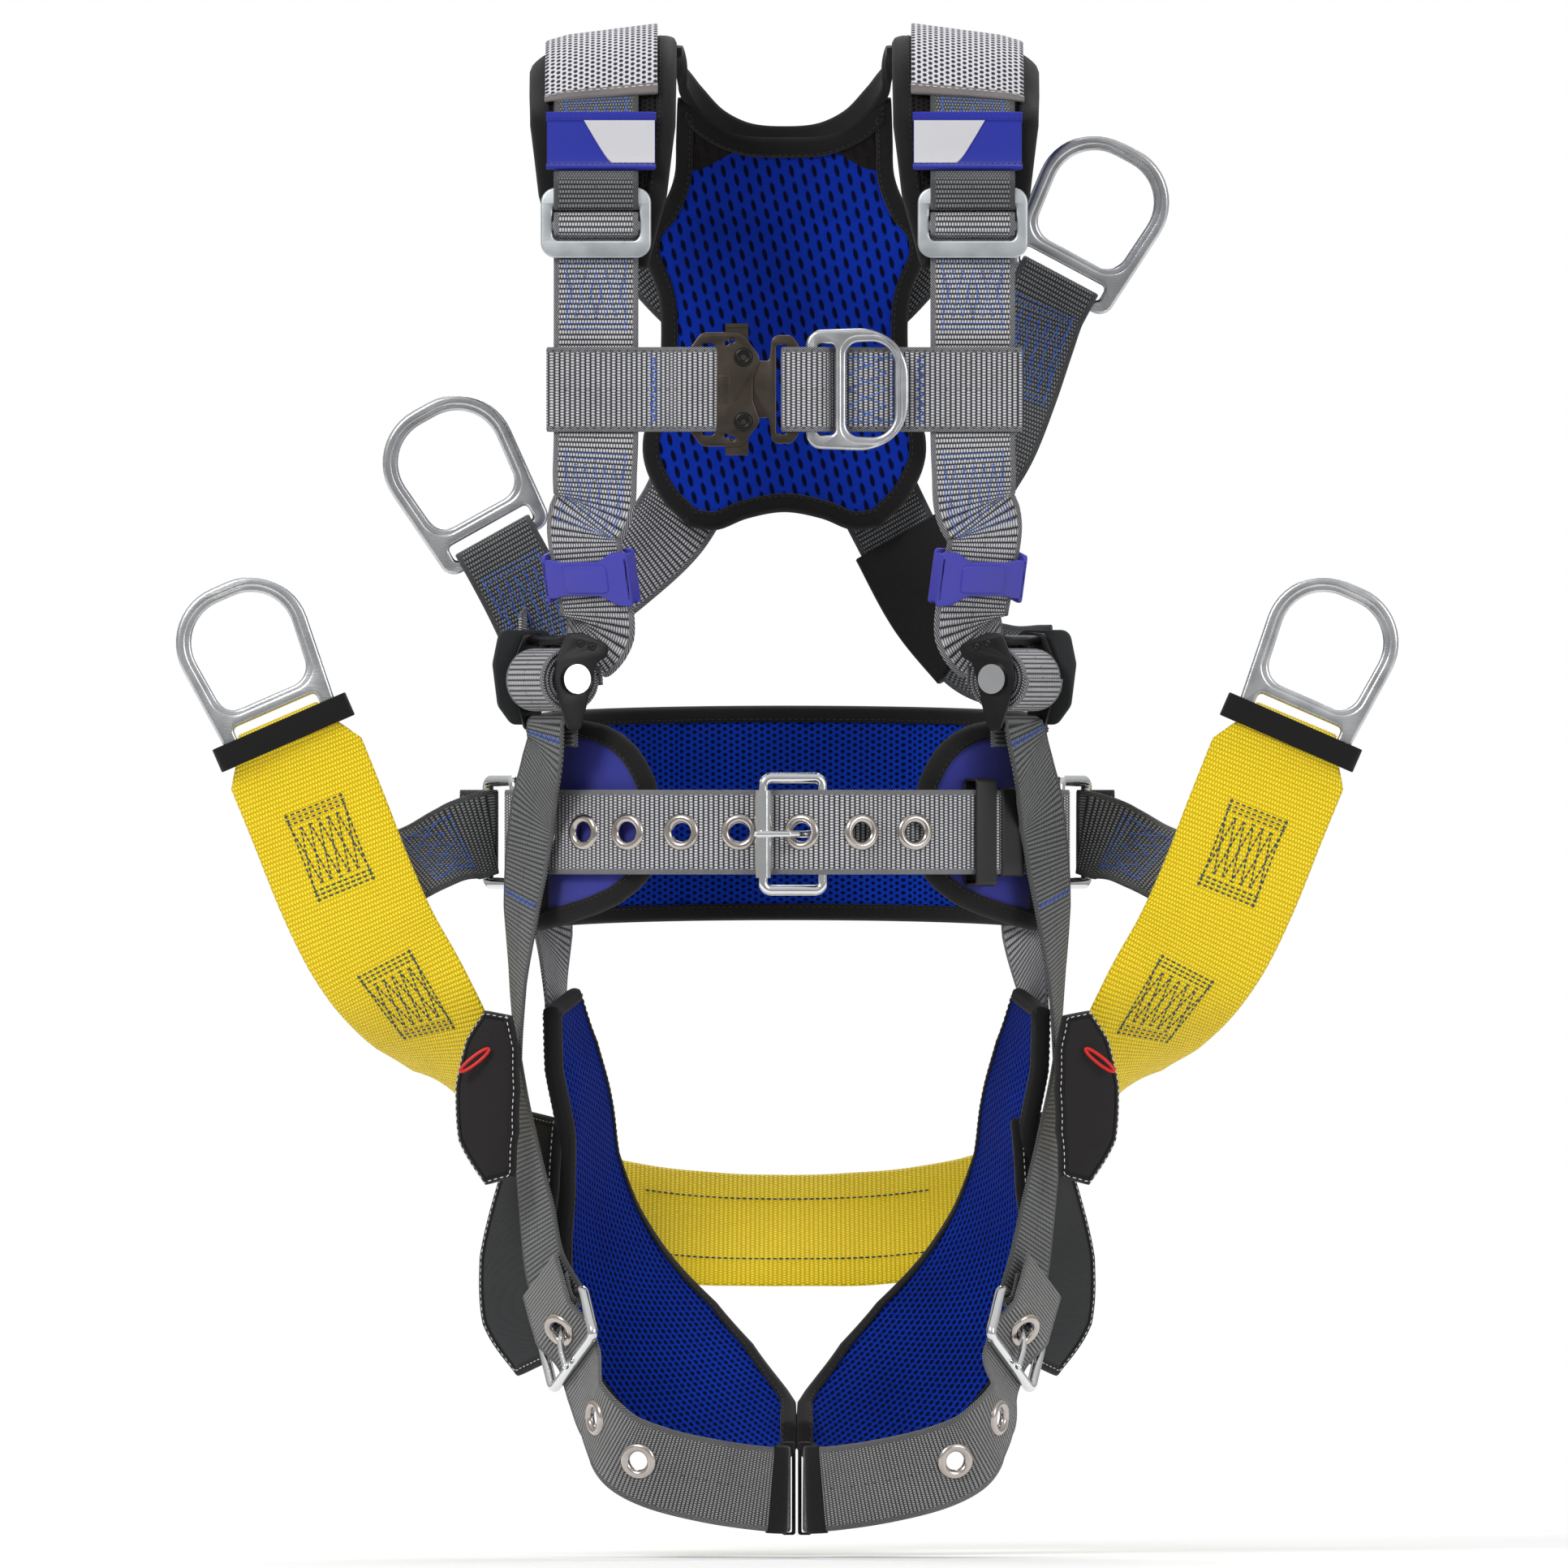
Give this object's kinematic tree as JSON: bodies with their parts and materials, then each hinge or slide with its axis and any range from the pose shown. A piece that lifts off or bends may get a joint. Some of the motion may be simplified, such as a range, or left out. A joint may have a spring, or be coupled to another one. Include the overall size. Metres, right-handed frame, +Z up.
{
  "type": "full-body climbing harness",
  "caption": "Full-body climbing harness with padded shoulders, waist belt, thigh loops, wide seat sling and forged attachment rings, in worn shape.",
  "frame": {"origin": "middle of the waist opening, at the belt's height", "axes": "+Z up, -Y towards the wearer's front, +X to the right as seen from the front"},
  "size_m": [0.644, 0.2426, 0.7924],
  "materials": {
    "black_fabric": "woven, matt",
    "blue_mesh": "spacer mesh, matt",
    "grey_webbing": "ribbed webbing",
    "dark_webbing": "ribbed webbing",
    "yellow_webbing": "ribbed webbing",
    "blue_band": "twill",
    "forged_metal": "satin forged",
    "plated_steel": "zinc plated",
    "chrome_steel": "polished",
    "bronze_metal": "bronze anodised",
    "eyelet_metal": "warm nickel",
    "blue_plastic": "moulded, semi-gloss",
    "black_plastic": "moulded, matt",
    "black_steel": "black coated"
  },
  "bodies": {
    "harness": {"adjuster_guards": "black_fabric", "back_pad": "blue_mesh", "back_strap_sleeve": "black_fabric", "back_straps": "dark_webbing", "belt_buckle_frame": "chrome_steel", "belt_grommets": "eyelet_metal", "belt_strap_left": "grey_webbing", "belt_strap_right": "grey_webbing", "chest_buckle_housing": "bronze_metal", "chest_buckle_rivets": "bronze_metal", "chest_strap_left": "grey_webbing", "chest_strap_right": "grey_webbing", "crotch_sleeves": "black_fabric", "dorsal_plate": "black_plastic", "front_strap_left": "grey_webbing", "front_strap_right": "grey_webbing", "hip_link_straps": "grey_webbing", "hip_pouches": "black_fabric", "hip_ring_left": "chrome_steel", "hip_ring_right": "chrome_steel", "identity_bands": "blue_band", "leg_buckle_frames": "chrome_steel", "leg_grommets": "eyelet_metal", "leg_pad_left": "blue_mesh", "leg_pad_right": "blue_mesh", "leg_strap_left": "dark_webbing", "leg_strap_right": "dark_webbing", "rear_ring_strap_left": "dark_webbing", "rear_ring_strap_right": "dark_webbing", "shoulder_adjuster_frames": "plated_steel", "shoulder_pad_left": "black_fabric", "shoulder_pad_right": "black_fabric", "shoulder_straps": "dark_webbing", "side_straps": "grey_webbing", "sling_bindings": "black_fabric", "sling_webbing": "yellow_webbing", "torso_adjuster_frames": "black_steel", "waist_pad": "blue_mesh"},
    "slide_bar_left": {"slide_bar_left": "plated_steel"},
    "slide_bar_right": {"slide_bar_right": "plated_steel"},
    "chest_buckle_tongue": {"chest_buckle_tongue": "bronze_metal"},
    "chest_latch_upper": {"chest_latch_upper": "bronze_metal"},
    "chest_latch_lower": {"chest_latch_lower": "bronze_metal"},
    "chest_ring": {"chest_ring": "forged_metal"},
    "dorsal_ring": {"dorsal_ring": "forged_metal"},
    "rear_ring_left": {"rear_ring_left": "forged_metal"},
    "rear_ring_right": {"rear_ring_right": "forged_metal"},
    "sling_ring_left": {"sling_ring_left": "forged_metal"},
    "sling_ring_right": {"sling_ring_right": "forged_metal"},
    "belt_buckle_roller": {"belt_buckle_roller": "chrome_steel"},
    "belt_buckle_tongue": {"belt_buckle_tongue": "chrome_steel"},
    "belt_keeper": {"belt_keeper": "black_plastic"},
    "lanyard_keeper_left": {"lanyard_keeper_left": "blue_plastic"},
    "lanyard_keeper_right": {"lanyard_keeper_right": "blue_plastic"},
    "adjuster_spool_left": {"adjuster_spool_left": "grey_webbing", "adjuster_axle_left": "chrome_steel"},
    "adjuster_spool_right": {"adjuster_spool_right": "grey_webbing", "adjuster_axle_right": "chrome_steel"},
    "leg_buckle_tongue_left": {"leg_buckle_tongue_left": "chrome_steel"},
    "leg_buckle_tongue_right": {"leg_buckle_tongue_right": "chrome_steel"}
  },
  "joints": [
    {"name": "slide_bar_left_lift", "type": "slide", "parent": "harness", "child": "slide_bar_left", "axis": [0, 0, 1], "range_m": [0, 0.0018]},
    {"name": "slide_bar_right_lift", "type": "slide", "parent": "harness", "child": "slide_bar_right", "axis": [0, 0, 1], "range_m": [0, 0.0018]},
    {"name": "chest_tongue_play", "type": "slide", "parent": "harness", "child": "chest_buckle_tongue", "axis": [1, 0, 0], "range_m": [0, 0.0022]},
    {"name": "chest_latch_upper_press", "type": "slide", "parent": "harness", "child": "chest_latch_upper", "axis": [0, 0, -1], "range_m": [0, 0.002], "stiffness_N_per_m": 300},
    {"name": "chest_latch_lower_press", "type": "slide", "parent": "harness", "child": "chest_latch_lower", "axis": [0, 0, 1], "range_m": [0, 0.002], "stiffness_N_per_m": 300},
    {"name": "chest_ring_swing", "type": "hinge", "parent": "harness", "child": "chest_ring", "pos_m": [0.013, -0.1085, 0.2326], "axis": [0, 0, -1], "range_deg": [0, 100]},
    {"name": "dorsal_ring_swing", "type": "hinge", "parent": "harness", "child": "dorsal_ring", "pos_m": [-0.0015, 0.1094, 0.256], "axis": [1, 0, 0], "range_deg": [-3, 150]},
    {"name": "rear_ring_left_swing", "type": "hinge", "parent": "harness", "child": "rear_ring_left", "pos_m": [-0.1525, -0.014, 0.151], "axis": [0.8734, 0, 0.4869], "range_deg": [-70, 70]},
    {"name": "rear_ring_right_swing", "type": "hinge", "parent": "harness", "child": "rear_ring_right", "pos_m": [0.1415, 0.008, 0.288], "axis": [0.8821, 0, -0.4711], "range_deg": [-15, 40]},
    {"name": "sling_ring_left_swing", "type": "hinge", "parent": "harness", "child": "sling_ring_left", "pos_m": [-0.2655, -0.037, 0.053], "axis": [0.9166, 0, 0.3998], "range_deg": [-15, 15]},
    {"name": "sling_ring_right_swing", "type": "hinge", "parent": "harness", "child": "sling_ring_right", "pos_m": [0.2655, -0.037, 0.053], "axis": [0.9166, 0, -0.3998], "range_deg": [-15, 15]},
    {"name": "belt_roller_turn", "type": "hinge", "parent": "harness", "child": "belt_buckle_roller", "pos_m": [-0.0125, -0.1114, -0.001], "axis": [0, 0, 1], "continuous": true},
    {"name": "belt_tongue_lift", "type": "hinge", "parent": "harness", "child": "belt_buckle_tongue", "pos_m": [0.0185, -0.1066, -0.001], "axis": [0, 0, 1], "range_deg": [0, 8]},
    {"name": "belt_keeper_slide", "type": "slide", "parent": "harness", "child": "belt_keeper", "axis": [0.8084, 0.5886, 0], "range_m": [-0.004, 0.004]},
    {"name": "lanyard_keeper_left_slide", "type": "slide", "parent": "harness", "child": "lanyard_keeper_left", "axis": [0.038, -0.3089, 0.9503], "range_m": [-0.005, 0.005]},
    {"name": "lanyard_keeper_right_slide", "type": "slide", "parent": "harness", "child": "lanyard_keeper_right", "axis": [-0.038, -0.3089, 0.9503], "range_m": [-0.005, 0.005]},
    {"name": "adjuster_spool_left_turn", "type": "hinge", "parent": "harness", "child": "adjuster_spool_left", "pos_m": [-0.1236, -0.07, 0.0805], "axis": [0.44, -0.898, 0], "continuous": true},
    {"name": "adjuster_spool_right_turn", "type": "hinge", "parent": "harness", "child": "adjuster_spool_right", "pos_m": [0.1206, -0.07, 0.0805], "axis": [-0.44, -0.898, 0], "continuous": true},
    {"name": "leg_tongue_left_lift", "type": "hinge", "parent": "harness", "child": "leg_buckle_tongue_left", "pos_m": [-0.1185, -0.045, -0.254], "axis": [-0.3973, 0.7439, -0.5374], "range_deg": [0, 5]},
    {"name": "leg_tongue_right_lift", "type": "hinge", "parent": "harness", "child": "leg_buckle_tongue_right", "pos_m": [0.1235, -0.045, -0.254], "axis": [-0.3973, -0.7439, 0.5374], "range_deg": [0, 5]}
  ]
}
